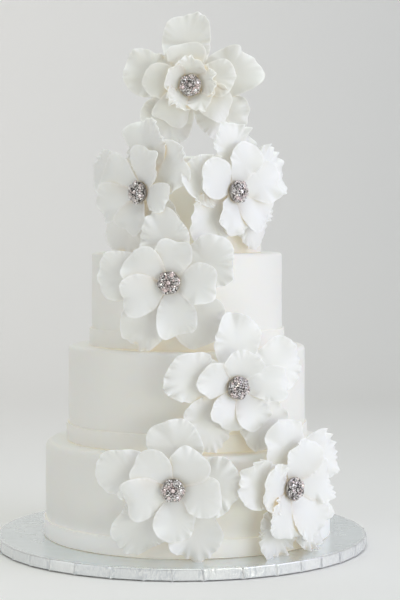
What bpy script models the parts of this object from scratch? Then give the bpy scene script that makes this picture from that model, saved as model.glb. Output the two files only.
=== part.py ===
"""A four-tier wedding cake on a foil-covered drum, with seven sugar-paste flowers.

Metres, +Z up.  The origin is the middle of the drum's underside, and the cake's front faces -Y.
Every flower has its own frame: X to its right, Y up its face, Z straight out of its face.  It is
built on an empty of that frame, whose origin is the flower's foot on the icing.
"""
import math
from collections import namedtuple

import bmesh
import bpy
from mathutils import Vector

MM = 0.001
INCH = 0.0254
GAP = 0.3 * MM                  # clearance between pieces that touch
TURN_STEPS = 32                 # sides of everything round and large
MERGE = 0.01 * MM

# The drum: half an inch thick, sixteen inches across.
DRUM_RADIUS = 8 * INCH
DRUM_THICKNESS = 0.5 * INCH
DRUM_EDGE = 1.2 * MM

# The tiers stand a little off the drum's middle.  Each is a baking tin's radius plus its icing.
CAKE_OFFSET_X = 5.5 * MM
ICING = 2.6 * MM
Tier = namedtuple("Tier", "tin_radius height top_edge")
TIERS = (
    Tier(6 * INCH, 103.5 * MM, 8 * MM),
    Tier(5 * INCH, 103.0 * MM, 5 * MM),
    Tier(4 * INCH, 101.0 * MM, 4 * MM),
    Tier(3 * INCH, 102.0 * MM, 4 * MM),
)

# A strip of icing runs round the foot of every tier.
BAND_HEIGHT = 19 * MM
BAND_THICKNESS = 2.4 * MM

# A ring of petals.  width, claw (its narrow end, as a part of the width), round and tip give each
# petal its outline.  seat is its height over the flower's foot, hub the ends of the knob of paste
# that it is pressed onto, lift its slope, and the rest is how far cup, bend, twist and ruffle move
# its edges out of its plane.
Ring = namedtuple("Ring", "width claw round tip seat hub lift cup bend twist ruffle")
OUTER = Ring(width=55 * MM, claw=0.16, round=0.40, tip=2.4, seat=4.5 * MM, hub=(GAP, 8.5 * MM),
             lift=math.radians(9), cup=1.5 * MM, bend=-2 * MM, twist=2.5 * MM, ruffle=2.5 * MM)
INNER = Ring(width=43 * MM, claw=0.18, round=0.42, tip=2.2, seat=12.5 * MM, hub=(8.8 * MM, 16.5 * MM),
             lift=math.radians(21), cup=4 * MM, bend=-3 * MM, twist=2.6 * MM, ruffle=0.6 * MM)
HEART = Ring(width=30 * MM, claw=0.26, round=0.30, tip=2.2, seat=18 * MM, hub=(16.8 * MM, 22.5 * MM),
             lift=math.radians(26), cup=4 * MM, bend=1 * MM, twist=1.3 * MM, ruffle=0.6 * MM)
HUB_RADIUS = 7.5 * MM
HUB_SIDES = 6
PETAL_THICKNESS = 1.1 * MM
PETAL_START = 4.5 * MM          # a petal's claw starts this far from the flower's axis
PETAL_COLUMNS = 4
PETAL_ROWS = 2

BROOCH_RADIUS = 12.75 * MM
BROOCH_RIM = 3.5 * MM
BROOCH_DOME = 6.5 * MM
BROOCH_SIDES = 10

# Where a flower sits: its tier (counted from the bottom), degrees round it from the front towards
# the right, and its height over the ground.
Seat = namedtuple("Seat", "tier around height")

# A flower: its seat, the way it faces in degrees like the seat's, and the direction (degrees,
# anticlockwise from its right) and reach (millimetres) of each petal.
Flower = namedtuple("Flower", "name seat facing outer inner")
FLOWERS = (
    Flower("front_base", Seat(1, -4, 86 * MM), -4,
           outer=((5, 68), (88, 70), (163, 80), (229, 80), (296, 78)),
           inner=((350, 49), (58, 46), (136, 48), (194, 51), (273, 51))),
    Flower("right_base", Seat(1, 39, 81 * MM), 43,
           outer=((33, 82), (97, 72), (170, 70), (248, 72), (312, 79)),
           inner=((12, 50), (72, 51), (172, 46), (236, 54), (300, 58))),
    Flower("second_tier", Seat(2, 20.5, 185 * MM), 24,
           outer=((24, 82), (88, 76), (167, 77), (230, 78), (309, 76)),
           inner=((6, 54), (85, 40), (163, 46), (243, 44), (300, 48))),
    Flower("third_tier", Seat(3, -8, 291 * MM), -8,
           outer=((28, 74), (97, 75), (172, 79), (238, 76), (306, 76)),
           inner=((358, 50), (82, 44), (150, 50), (203, 52), (284, 56))),
    Flower("upper_left", Seat(4, -27.5, 384 * MM), -43,
           outer=((33, 72), (86, 78), (160, 80), (237, 72), (310, 61)),
           inner=((355, 47), (62, 49), (145, 54), (197, 56), (254, 44))),
    Flower("upper_right", Seat(4, 32, 385 * MM), 40,
           outer=((24, 78), (93, 74), (165, 70), (222, 72), (312, 67)),
           inner=((18, 55), (80, 52), (160, 57), (250, 46), (318, 49))),
)
# The top flower stands over the highest tier on a stem, and has a third, small ring.
CROWN = Flower("crown", None, 0,
               outer=((19, 78), (94, 80), (163, 74), (235, 72), (318, 77)),
               inner=((16, 49), (98, 47), (172, 50), (235, 48), (326, 50)))
CROWN_HEART = ((20, 28), (90, 28), (160, 28), (232, 28), (308, 28))
CROWN_FOOT = Vector((9.5 * MM, -3 * MM, 500 * MM))
STEM_RADIUS = 2 * MM
STEM_FOOT_X = -11 * MM
STEM_FOOT_Y = 8 * MM
STEM_LEAD = 2 * MM              # the stem is straight for this far at each end
STEM_POINTS = 6

PARTS = "tiered_wedding_cake"
CUTTERS = "cake_cutters"


# ------------------------------------------------------------------ scene and materials

def clear_scene():
    for thing in list(bpy.data.objects):
        bpy.data.objects.remove(thing, do_unlink=True)
    for name in (PARTS, CUTTERS):
        bpy.context.scene.collection.children.link(bpy.data.collections.new(name))


def material(name, colour, roughness, metallic=0.0):
    """A plain Principled finish, made once for each name."""
    found = bpy.data.materials.get(name)
    if found:
        return found
    made = bpy.data.materials.new(name)
    made.use_nodes = True
    shader = made.node_tree.nodes["Principled BSDF"]
    shader.inputs["Base Color"].default_value = (*colour, 1.0)
    shader.inputs["Roughness"].default_value = roughness
    shader.inputs["Metallic"].default_value = metallic
    return made


def icing_material():
    return material("rolled_icing", (0.88, 0.875, 0.85), 0.5)


def petal_material():
    return material("sugar_paste", (0.90, 0.895, 0.875), 0.42)


def foil_material():
    return material("silver_foil", (0.78, 0.79, 0.80), 0.28, 1.0)


def brooch_material():
    return material("rhinestone_silver", (0.72, 0.70, 0.70), 0.2, 1.0)


def stem_material():
    return material("white_floral_tape", (0.82, 0.82, 0.80), 0.7)


def add_object(name, data, collection, finish=None):
    thing = bpy.data.objects.new(name, data)
    bpy.data.collections[collection].objects.link(thing)
    if finish:
        data.materials.append(finish)
    return thing


def add_cutter(name, data):
    thing = add_object(name, data, CUTTERS)
    thing.hide_render = True
    thing.display_type = "WIRE"
    return thing


# ------------------------------------------------------------------ turned pieces

def arc(centre, radius, start, end, steps):
    """Points of an arc in the profile plane, angles in degrees from +X."""
    points = []
    for step in range(steps + 1):
        angle = math.radians(start + (end - start) * step / steps)
        points.append((centre[0] + radius * math.cos(angle), centre[1] + radius * math.sin(angle)))
    return points


def turned(name, profile, finish, steps=TURN_STEPS, closed=False):
    """A solid of revolution: the profile runs down the outer side, top to bottom."""
    mesh = bpy.data.meshes.new(name)
    shape = bmesh.new()
    points = [shape.verts.new((x, 0, z)) for x, z in profile]
    for first, second in zip(points, points[1:]):
        shape.edges.new((first, second))
    if closed:
        shape.edges.new((points[-1], points[0]))
    shape.to_mesh(mesh)
    shape.free()
    thing = add_object(name, mesh, PARTS, finish)
    screw = thing.modifiers.new("turn", "SCREW")
    screw.steps = steps
    screw.render_steps = steps
    screw.use_merge_vertices = True
    screw.merge_threshold = MERGE
    screw.use_smooth_shade = False
    return thing


def build_drum():
    profile = [(0, DRUM_THICKNESS)]
    profile += arc((DRUM_RADIUS - DRUM_EDGE, DRUM_THICKNESS - DRUM_EDGE), DRUM_EDGE, 90, 0, 1)
    profile += arc((DRUM_RADIUS - DRUM_EDGE, DRUM_EDGE), DRUM_EDGE, 0, -90, 1)
    profile += [(0, 0)]
    turned("cake_drum", profile, foil_material())


def tier_radius(tier):
    return tier.tin_radius + ICING


def tier_foot(number):
    """The height that a tier, counted from 1, stands at."""
    return DRUM_THICKNESS + sum(tier.height for tier in TIERS[:number - 1]) + GAP


def build_tier(number):
    tier = TIERS[number - 1]
    radius = tier_radius(tier)
    top = tier.height - GAP
    profile = [(0, top)]
    profile += arc((radius - tier.top_edge, top - tier.top_edge), tier.top_edge, 90, 0, 2)
    profile += [(radius, 0), (0, 0)]
    made = turned(f"tier_{number}", profile, icing_material())
    made.location = (CAKE_OFFSET_X, 0, tier_foot(number))


def build_band(number):
    inner = tier_radius(TIERS[number - 1]) + GAP
    outer = inner + BAND_THICKNESS
    profile = [(inner, BAND_HEIGHT), (outer, BAND_HEIGHT), (outer, 0), (inner, 0)]
    made = turned(f"band_{number}", profile, icing_material(), closed=True)
    made.location = (CAKE_OFFSET_X, 0, tier_foot(number))


# ------------------------------------------------------------------ flowers

def petal_point(ring, direction, reach, across, along):
    """A point of a petal's sheet: across runs -1 to 1, along runs 0 (claw) to 1 (tip)."""
    length = reach - PETAL_START
    out = PETAL_START + length * along * (1 - ring.round * abs(across) ** ring.tip * along ** 2)
    spread = ring.claw + (1 - ring.claw) * math.sin(0.5 * math.pi * along)
    side = 0.5 * ring.width * across * spread
    rise = ring.seat + (out - PETAL_START) * math.tan(ring.lift)
    rise += ring.cup * (across * along) ** 2 + ring.bend * along ** 3
    rise += ring.twist * across * math.sqrt(along)
    rise += ring.ruffle * along ** 3 * math.cos(2 * math.pi * across)
    angle = math.radians(direction)
    return Vector((
        out * math.cos(angle) + side * math.sin(angle),
        out * math.sin(angle) - side * math.cos(angle),
        rise,
    ))


def hub_cutter(name, ring):
    """The knob of paste in the middle of a ring, which its petals are pressed onto."""
    bottom, top = ring.hub
    mesh = bpy.data.meshes.new(name)
    shape = bmesh.new()
    made = bmesh.ops.create_cone(shape, cap_ends=True, segments=HUB_SIDES, radius1=HUB_RADIUS,
                                 radius2=HUB_RADIUS, depth=top - bottom)
    bmesh.ops.translate(shape, verts=made["verts"], vec=(0, 0, 0.5 * (bottom + top)))
    shape.to_mesh(mesh)
    shape.free()
    return add_cutter(name, mesh)


def build_ring(name, ring, petals, place):
    """Petal sheets from grids, given their thickness, then joined to one knob of paste."""
    mesh = bpy.data.meshes.new(name)
    shape = bmesh.new()
    for direction, reach in petals:
        sheet = bmesh.ops.create_grid(shape, x_segments=PETAL_COLUMNS, y_segments=PETAL_ROWS, size=1)
        for vert in sheet["verts"]:
            across, along = vert.co.x, 0.5 * (vert.co.y + 1)
            vert.co = petal_point(ring, direction, reach * MM, across, along)
    shape.to_mesh(mesh)
    shape.free()
    made = add_object(name, mesh, PARTS, petal_material())
    made.parent = place
    solid = made.modifiers.new("thickness", "SOLIDIFY")
    solid.thickness = PETAL_THICKNESS
    solid.offset = 0
    hub = hub_cutter(f"{name}_hub", ring)
    hub.parent = place
    join = made.modifiers.new("join", "BOOLEAN")
    join.operation = "UNION"
    join.solver = "EXACT"
    join.use_self = True
    join.object = hub
    return made


def build_brooch(name, foot, place):
    """A domed button of set stones on the flower's middle."""
    rim = foot + BROOCH_RIM
    profile = [
        (0, rim + BROOCH_DOME),
        (0.7 * BROOCH_RADIUS, rim + 0.7 * BROOCH_DOME),
        (BROOCH_RADIUS, rim),
        (0.8 * BROOCH_RADIUS, foot),
        (0, foot),
    ]
    made = turned(name, profile, brooch_material(), steps=BROOCH_SIDES)
    made.parent = place
    return made


def flower_place(flower, foot):
    """The empty whose frame a flower is built in."""
    place = bpy.data.objects.new(f"{flower.name}_place", None)
    bpy.data.collections[PARTS].objects.link(place)
    place.location = foot
    place.rotation_euler = (math.radians(90), 0, math.radians(flower.facing))
    return place


def flower_foot(flower):
    """Where a flower's knob meets the side of its tier, clear of it where the flower is turned."""
    seat = flower.seat
    turn = math.radians(abs(flower.facing - seat.around))
    radius = tier_radius(TIERS[seat.tier - 1]) + HUB_RADIUS * math.sin(turn)
    angle = math.radians(seat.around)
    return Vector((CAKE_OFFSET_X + radius * math.sin(angle), -radius * math.cos(angle), seat.height))


def build_flower(flower):
    place = flower_place(flower, flower_foot(flower))
    build_ring(f"{flower.name}_outer_petals", OUTER, flower.outer, place)
    build_ring(f"{flower.name}_inner_petals", INNER, flower.inner, place)
    build_brooch(f"{flower.name}_brooch", INNER.hub[1] + GAP, place)


def build_crown():
    """The top flower has a third ring of small cupped petals round its brooch."""
    place = flower_place(CROWN, CROWN_FOOT)
    build_ring("crown_outer_petals", OUTER, CROWN.outer, place)
    build_ring("crown_inner_petals", INNER, CROWN.inner, place)
    build_ring("crown_heart_petals", HEART, CROWN_HEART, place)
    build_brooch("crown_brooch", HEART.hub[1] + GAP, place)


def stem_path():
    """A cubic curve from behind the top flower down to the top of the highest tier."""
    top_of_cake = tier_foot(len(TIERS)) + TIERS[-1].height - GAP
    back = Vector((0, STEM_LEAD, 0))
    up = Vector((0, 0, STEM_LEAD))
    start = CROWN_FOOT + back
    end = Vector((STEM_FOOT_X, STEM_FOOT_Y, top_of_cake + GAP)) + up
    reach = 0.5 * (start.z - end.z)
    first = start + Vector((0, 0.5 * reach, 0))
    second = end + Vector((0, 0, reach))
    points = [start - back]
    for step in range(STEM_POINTS):
        t = step / (STEM_POINTS - 1)
        s = 1 - t
        points.append(s ** 3 * start + 3 * t * s ** 2 * first + 3 * t ** 2 * s * second + t ** 3 * end)
    return points + [end - up]


def build_stem():
    curve = bpy.data.curves.new("crown_stem", "CURVE")
    curve.dimensions = "3D"
    curve.bevel_depth = STEM_RADIUS
    curve.bevel_resolution = 2
    curve.use_fill_caps = True
    points = stem_path()
    line = curve.splines.new("POLY")
    line.points.add(len(points) - 1)
    for slot, point in zip(line.points, points):
        slot.co = (*point, 1)
    return add_object("crown_stem", curve, PARTS, stem_material())


def main():
    clear_scene()
    build_drum()
    for number in range(1, len(TIERS) + 1):
        build_tier(number)
        build_band(number)
    for flower in FLOWERS:
        build_flower(flower)
    build_crown()
    build_stem()


main()
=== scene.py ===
# %% [markdown]
# # A tiered wedding cake with sugar flowers
#
# The solid parts of the cake are already settled: four round tiers, the icing strip at the foot of
# each, a foil-covered drum, and seven flowers made of rings of petals round a jewelled brooch.
# This script dresses them.  It loads the solids as a fixed frame, reads the places and sizes of the
# tiers, strips and drum and the depth of each brooch from it, and replaces the plain shapes with the
# finely made ones.

# %% Load the frame
import math
from collections import namedtuple

import bmesh
import bpy
import numpy as np
from mathutils import Matrix, Vector


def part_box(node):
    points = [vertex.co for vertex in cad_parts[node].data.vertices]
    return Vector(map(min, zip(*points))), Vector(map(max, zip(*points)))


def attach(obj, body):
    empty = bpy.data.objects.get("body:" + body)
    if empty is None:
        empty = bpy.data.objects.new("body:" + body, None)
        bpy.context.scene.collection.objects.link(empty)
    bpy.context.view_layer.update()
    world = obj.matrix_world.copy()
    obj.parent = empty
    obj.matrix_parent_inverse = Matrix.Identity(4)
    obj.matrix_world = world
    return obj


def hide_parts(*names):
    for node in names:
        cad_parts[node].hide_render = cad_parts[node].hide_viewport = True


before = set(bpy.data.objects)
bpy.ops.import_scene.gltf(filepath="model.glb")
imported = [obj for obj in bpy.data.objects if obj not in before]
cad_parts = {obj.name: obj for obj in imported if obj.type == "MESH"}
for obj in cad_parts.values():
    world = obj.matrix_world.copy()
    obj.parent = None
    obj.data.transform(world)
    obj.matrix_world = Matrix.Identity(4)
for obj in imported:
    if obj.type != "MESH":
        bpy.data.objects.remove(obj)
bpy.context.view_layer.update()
BODY = "root"
MM = 0.001

# %% [markdown]
# ## Sizes read from the frame
#
# Nothing is placed by eye against the solids.  A tier's middle, radius and height come from the box
# of its solid, and so do the drum's and the strips'.

# %% Boxes as middle, radius and height
Round = namedtuple("Round", "middle radius bottom top")


def round_solid(node):
    """A turned solid as its axis, its radius and the heights of its two ends."""
    low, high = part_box(node)
    middle = (low + high) / 2
    return Round(Vector((middle.x, middle.y, 0)), (high.x - low.x) / 2, low.z, high.z)


TIERS = [round_solid(f"tier_{number}") for number in (1, 2, 3, 4)]
BANDS = [round_solid(f"band_{number}") for number in (1, 2, 3, 4)]
DRUM = round_solid("cake_drum")
for number, tier in enumerate(TIERS, 1):
    print(f"tier {number}: radius {tier.radius / MM:.1f} mm, top at {tier.top / MM:.1f} mm")

# %% [markdown]
# ## The camera
#
# A long lens from almost two metres away, a little above the middle of the cake and pitched down by
# less than three degrees, so the tiers' edges show as shallow ellipses.

# %% Camera
CAMERA_PLACE = (20 * MM, -1769.6 * MM, 352.3 * MM)
CAMERA_PITCH = -2.74            # degrees, downwards
LENS = 96.7                     # millimetres, on a 36 mm sensor


def make_camera():
    lens = bpy.data.cameras.new("camera")
    lens.lens = LENS
    lens.sensor_width = 36
    camera = bpy.data.objects.new("camera", lens)
    camera.location = CAMERA_PLACE
    camera.rotation_euler = (math.radians(90 + CAMERA_PITCH), 0, 0)
    bpy.context.scene.collection.objects.link(camera)
    bpy.context.scene.camera = camera
    return camera


print("camera", tuple(round(v, 3) for v in make_camera().location))

# %% [markdown]
# ## Building node trees
#
# Shader trees and geometry trees are both graphs of nodes.  Three short helpers keep the building
# of them readable: `add_node` adds a node and sets its properties and inputs, `calc` adds one step
# of arithmetic, and `declare` gives a group its named inputs and outputs.

# %% Helpers for nodes
SOCKETS = {
    "float": "NodeSocketFloat",
    "int": "NodeSocketInt",
    "vector": "NodeSocketVector",
    "geometry": "NodeSocketGeometry",
    "material": "NodeSocketMaterial",
}


def add_node(tree, kind, inputs=None, **properties):
    """A new node; an input is a value, or the socket that feeds it."""
    node = tree.nodes.new(kind)
    for name, value in properties.items():
        setattr(node, name, value)
    for name, value in (inputs or {}).items():
        socket = node.inputs[name]
        if isinstance(value, bpy.types.NodeSocket):
            tree.links.new(value, socket)
        else:
            socket.default_value = value
    return node


def calc(tree, operation, *values):
    """One Math node, and the socket that holds its result."""
    node = add_node(tree, "ShaderNodeMath", dict(enumerate(values)), operation=operation)
    return node.outputs[0]


def declare(tree, direction, **sockets):
    """Named sockets of a group; an underscore in a name stands for a space."""
    for name, kind in sockets.items():
        tree.interface.new_socket(name.replace("_", " "), in_out=direction,
                                  socket_type=SOCKETS[kind])


# %% [markdown]
# ## A shared effect: soft mottling
#
# Rolled icing, sugar paste and foil all have faint unevenness at two scales: a slow swell left by
# the hand that smoothed it, and a fine grain.  One shader group makes both from object coordinates.
# It puts out a height for bump mapping and a mask for colour and roughness.

# %% The mottle group
def make_mottle_group():
    tree = bpy.data.node_groups.new("mottle", "ShaderNodeTree")
    declare(tree, "INPUT", Swell_scale="float", Grain_scale="float", Grain_share="float")
    declare(tree, "OUTPUT", Height="float", Mask="float")
    given = tree.nodes.new("NodeGroupInput")
    place = add_node(tree, "ShaderNodeTexCoord")
    swell = add_node(tree, "ShaderNodeTexNoise", {
        "Vector": place.outputs["Object"], "Scale": given.outputs["Swell scale"], "Detail": 3.0})
    grain = add_node(tree, "ShaderNodeTexNoise", {
        "Vector": place.outputs["Object"], "Scale": given.outputs["Grain scale"], "Detail": 2.0})
    mixed = add_node(tree, "ShaderNodeMix", {
        "Factor": given.outputs["Grain share"], "A": swell.outputs["Fac"], "B": grain.outputs["Fac"]})
    put_out = tree.nodes.new("NodeGroupOutput")
    tree.links.new(mixed.outputs["Result"], put_out.inputs["Height"])
    tree.links.new(swell.outputs["Fac"], put_out.inputs["Mask"])
    return tree


MOTTLE = make_mottle_group()
print("shader group", MOTTLE.name)

# %% [markdown]
# ## A shared effect: painted glow of light caught between white petals
#
# Light that gets in between thin white petals is passed on from one to the next many times, and a
# little more of it turns warm each time, so that deep gaps glow a soft tan instead of going grey.
# Here that light is painted: this group finds such places, and the materials paint a tan tint and a
# glow there.  It puts out a mask that is 0 on open surfaces and grows where near surfaces close
# round a point.

# %% The closed-in group
def make_closed_in_group():
    tree = bpy.data.node_groups.new("closed_in", "ShaderNodeTree")
    declare(tree, "INPUT", Reach="float", Open="float")
    declare(tree, "OUTPUT", Mask="float")
    given = tree.nodes.new("NodeGroupInput")
    around = add_node(tree, "ShaderNodeAmbientOcclusion", {"Distance": given.outputs["Reach"]},
                      samples=8)
    mask = add_node(tree, "ShaderNodeMapRange", {
        "Value": around.outputs["AO"], "From Min": 0.0, "From Max": given.outputs["Open"],
        "To Min": 1.0, "To Max": 0.0})
    put_out = tree.nodes.new("NodeGroupOutput")
    tree.links.new(mask.outputs["Result"], put_out.inputs["Mask"])
    return tree


CLOSED_IN = make_closed_in_group()
print("shader group", CLOSED_IN.name)

# %% [markdown]
# ## Materials
#
# A material starts from the Principled shader.  `finish` makes one, adds the mottle group with its
# own scales, and lets the mask lead the colour and the roughness between two close values, because
# nothing on a cake is one flat colour.

# %% A function for finishes
def finish(name, dark, light, rough, swell=20.0, grain=400.0, grain_share=0.3,
           bump=0.1, bump_depth=0.2 * MM, **shader_values):
    """A Principled material whose colour and roughness drift between two values."""
    material = bpy.data.materials.new(name)
    material.use_nodes = True
    tree = material.node_tree
    shader = tree.nodes["Principled BSDF"]
    mottle = add_node(tree, "ShaderNodeGroup", node_tree=MOTTLE)
    mottle.inputs["Swell scale"].default_value = swell
    mottle.inputs["Grain scale"].default_value = grain
    mottle.inputs["Grain share"].default_value = grain_share
    colour = add_node(tree, "ShaderNodeMix", {
        "Factor": mottle.outputs["Mask"], "A": (*dark, 1), "B": (*light, 1)}, data_type="RGBA")
    roughness = add_node(tree, "ShaderNodeMapRange", {
        "Value": mottle.outputs["Mask"], "From Min": 0.3, "From Max": 0.7,
        "To Min": rough[0], "To Max": rough[1]})
    bumps = add_node(tree, "ShaderNodeBump", {
        "Strength": bump, "Distance": bump_depth, "Height": mottle.outputs["Height"]},
        name="relief")
    tree.links.new(colour.outputs["Result"], shader.inputs["Base Color"])
    tree.links.new(roughness.outputs["Result"], shader.inputs["Roughness"])
    tree.links.new(bumps.outputs["Normal"], shader.inputs["Normal"])
    for socket, value in shader_values.items():
        shader.inputs[socket.replace("_", " ")].default_value = value
    return material


def paint_gap_glow_and_tan(material, colour, tint, reach=30 * MM, clear=0.55):
    """Paint the closed-in parts of a pale material with a glow in the emission and a tan tint in the base
    colour, for the light caught there.
    """
    tree = material.node_tree
    shader = tree.nodes["Principled BSDF"]
    shader.inputs["Emission Strength"].default_value = 1.0
    gaps = add_node(tree, "ShaderNodeGroup", node_tree=CLOSED_IN)
    gaps.inputs["Reach"].default_value = reach
    gaps.inputs["Open"].default_value = clear
    # Painted light: the emission glows warm where the surface is closed in.
    painted_glow = add_node(tree, "ShaderNodeMix", {
        "Factor": gaps.outputs["Mask"], "A": (0, 0, 0, 1), "B": (*colour, 1)}, data_type="RGBA")
    tree.links.new(painted_glow.outputs["Result"], shader.inputs["Emission Color"])
    # Painted shade: the base colour turns tan where the surface is closed in.
    painted_tan = add_node(tree, "ShaderNodeMix", {
        "Factor": gaps.outputs["Mask"], "A": shader.inputs["Base Color"].links[0].from_socket,
        "B": (*tint, 1)}, data_type="RGBA")
    tree.links.new(painted_tan.outputs["Result"], shader.inputs["Base Color"])
    return material


def paint_foil_bounce(material, colour, low, high):
    """Paint, as a glow in the emission, the light that the shiny board throws up at the foot of the lowest
    tier.
    """
    tree = material.node_tree
    shader = tree.nodes["Principled BSDF"]
    place = add_node(tree, "ShaderNodeTexCoord")
    axes = add_node(tree, "ShaderNodeSeparateXYZ", {"Vector": place.outputs["Object"]})
    share = add_node(tree, "ShaderNodeMapRange", {
        "Value": axes.outputs["Z"], "From Min": low, "From Max": high, "To Min": 1.0, "To Max": 0.0},
        interpolation_type="SMOOTHSTEP")
    # Painted light: a cool glow low on the icing, fading out upwards.
    painted_bounce = add_node(tree, "ShaderNodeMix", {
        "Factor": share.outputs["Result"], "A": (0, 0, 0, 1), "B": (*colour, 1)}, data_type="RGBA")
    painted_glow = shader.inputs["Emission Color"].links[0].from_node
    tree.links.new(painted_bounce.outputs["Result"], painted_glow.inputs["A"])


ICING = finish("rolled_icing", (0.925, 0.91, 0.87), (0.95, 0.94, 0.905), (0.42, 0.55),
               Subsurface_Weight=0.25, Subsurface_Radius=(1.0, 0.75, 0.5), Subsurface_Scale=3 * MM)
PETAL = finish("sugar_paste", (0.953, 0.96, 0.937), (0.979, 0.984, 0.967), (0.28, 0.4), swell=60.0,
               Subsurface_Weight=0.5, Subsurface_Radius=(1.0, 0.93, 0.84), Subsurface_Scale=2.5 * MM)
FOIL = finish("silver_foil", (0.85, 0.875, 0.9), (0.93, 0.955, 0.985), (0.15, 0.26), swell=45.0,
              grain=600.0, grain_share=0.06, bump=0.35, Metallic=0.6)
# Painted glow and painted tan shade in the gaps of the icing and the paste.
paint_gap_glow_and_tan(ICING, (0.125, 0.109, 0.079), (0.95, 0.91, 0.83), reach=50 * MM, clear=0.58)
paint_foil_bounce(ICING, (0.08, 0.089, 0.11), DRUM.top + 12 * MM, DRUM.top + 30 * MM)
paint_gap_glow_and_tan(PETAL, (0.09, 0.066, 0.036), (0.94, 0.87, 0.72), reach=16 * MM)
print("materials", [m.name for m in (ICING, PETAL, FOIL)])

# %% [markdown]
# ## Floor, backdrop and light
#
# The floor bends up into the backdrop, so no corner shows.  Its colour is painted a little darker to
# the right, away from the side wall, as painted shade, and it is clear when seen from behind, so that
# the cake's back can be looked at too.  A large window stands on the right, a ceiling and a left wall
# fill in, and a low panel gives back what a pale table would.

# %% Stage
def add_object(name, data, material=None):
    thing = bpy.data.objects.new(name, data)
    bpy.context.scene.collection.objects.link(thing)
    if material:
        data.materials.append(material)
    return thing


def make_stage():
    width, near, far, height, bend = 6.0, -3.0, 2.2, 3.0, 0.8
    outline = [(near, 0)]
    for step in range(13):
        angle = math.radians(90 * step / 12)
        outline.append((far - bend + bend * math.sin(angle), bend - bend * math.cos(angle)))
    outline.append((far, height))
    mesh = bpy.data.meshes.new("floor")
    shape = bmesh.new()
    rows = []
    for y, z in outline:
        rows.append([shape.verts.new((x * width, y, z)) for x in (-1, 1)])
    for first, second in zip(rows, rows[1:]):
        shape.faces.new((first[0], first[1], second[1], second[0]))
    shape.to_mesh(mesh)
    shape.free()
    mesh.shade_smooth()
    paint = bpy.data.materials.new("pale_paper")
    paint.use_nodes = True
    shader = paint.node_tree.nodes["Principled BSDF"]
    shader.inputs["Roughness"].default_value = 0.9
    place = add_node(paint.node_tree, "ShaderNodeTexCoord")
    axes = add_node(paint.node_tree, "ShaderNodeSeparateXYZ", {"Vector": place.outputs["Object"]})
    # Painted shade: the paper's colour darkens from left to right.
    across = add_node(paint.node_tree, "ShaderNodeMapRange", {
        "Value": axes.outputs["X"], "From Min": -0.5, "From Max": 0.5})
    shade = add_node(paint.node_tree, "ShaderNodeMix", {
        "Factor": across.outputs["Result"], "A": (0.98, 0.96, 0.945, 1), "B": (0.81, 0.805, 0.795, 1)},
        data_type="RGBA")
    paint.node_tree.links.new(shade.outputs["Result"], shader.inputs["Base Color"])
    side = paint.node_tree.nodes.new("ShaderNodeNewGeometry")
    clear = paint.node_tree.nodes.new("ShaderNodeBsdfTransparent")
    one_sided = add_node(paint.node_tree, "ShaderNodeMixShader", {
        0: side.outputs["Backfacing"], 1: shader.outputs[0], 2: clear.outputs[0]})
    put_out = paint.node_tree.nodes["Material Output"]
    paint.node_tree.links.new(one_sided.outputs[0], put_out.inputs["Surface"])
    floor = add_object("floor", mesh, paint)
    return floor


make_stage()

# %% Lights
Panel = namedtuple("Panel", "name place size power colour")
PANELS = (
    Panel("window", (2.3, -1.0, 1.1), (2.0, 2.0), 29, (0.79, 0.81, 1.0)),
    Panel("bounce", (1.3, -1.9, 0.25), (1.2, 0.5), 7, (0.95, 1.0, 0.85)),
    Panel("ceiling", (0.0, -0.2, 2.6), (2.0, 2.0), 29.5, (0.905, 1.0, 0.995)),
    Panel("left_wall", (-2.3, -1.2, 0.6), (1.6, 1.1), 10, (0.88, 0.94, 1.0)),
)
ROOM_COLOUR, ROOM_STRENGTH = (1.0, 0.94, 0.84, 1), 0.29     # what reaches the cake from all round
WALL_COLOUR, WALL_STRENGTH = (1.0, 1.0, 0.985, 1), 0.66     # what a camera sees past the floor
CAKE_MIDDLE = Vector((0, 0, 0.29))


def hang_panel(panel):
    lamp = bpy.data.lights.new(panel.name, "AREA")
    lamp.shape = "RECTANGLE"
    lamp.size, lamp.size_y = panel.size
    lamp.energy = panel.power
    lamp.color = panel.colour
    thing = add_object(panel.name, lamp)
    thing.location = panel.place
    aim = CAKE_MIDDLE - Vector(panel.place)
    thing.rotation_euler = aim.to_track_quat("-Z", "Y").to_euler()


for panel in PANELS:
    hang_panel(panel)
world = bpy.data.worlds.new("soft_room")
world.use_nodes = True
room = world.node_tree.nodes["Background"]
room.inputs["Color"].default_value = ROOM_COLOUR
room.inputs["Strength"].default_value = ROOM_STRENGTH
wall = add_node(world.node_tree, "ShaderNodeBackground", {
    "Color": WALL_COLOUR, "Strength": WALL_STRENGTH})
seen = world.node_tree.nodes.new("ShaderNodeLightPath")
either = add_node(world.node_tree, "ShaderNodeMixShader", {
    0: seen.outputs["Is Camera Ray"], 1: room.outputs[0], 2: wall.outputs[0]})
world.node_tree.links.new(either.outputs[0], world.node_tree.nodes["World Output"].inputs[0])
bpy.context.scene.world = world
bpy.context.scene.view_settings.view_transform = "Standard"
print(len(PANELS), "panels of light")

# %% [markdown]
# ## From live shape to plain mesh
#
# Modifiers and node trees are handy while a piece is being made, but a finished piece is one plain
# mesh with its place in its points and its object at the origin.

# %% Finishing a piece
def as_plain_mesh(thing):
    """The evaluated shape becomes the object's own mesh, and its modifiers go."""
    bpy.context.view_layer.update()
    depsgraph = bpy.context.evaluated_depsgraph_get()
    mesh = bpy.data.meshes.new_from_object(thing.evaluated_get(depsgraph))
    mesh.transform(thing.matrix_world)
    mesh.name = thing.name
    rough = thing.data
    thing.modifiers.clear()
    thing.matrix_world = Matrix.Identity(4)
    thing.data = mesh
    bpy.data.meshes.remove(rough)
    return thing


def dress(thing, node=None):
    """Attach a finished piece to the frame's body, and hide the solid it stands for."""
    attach(thing, BODY)
    if node:
        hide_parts(node)
    print(f"{thing.name}: {len(thing.data.polygons)} faces")


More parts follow.
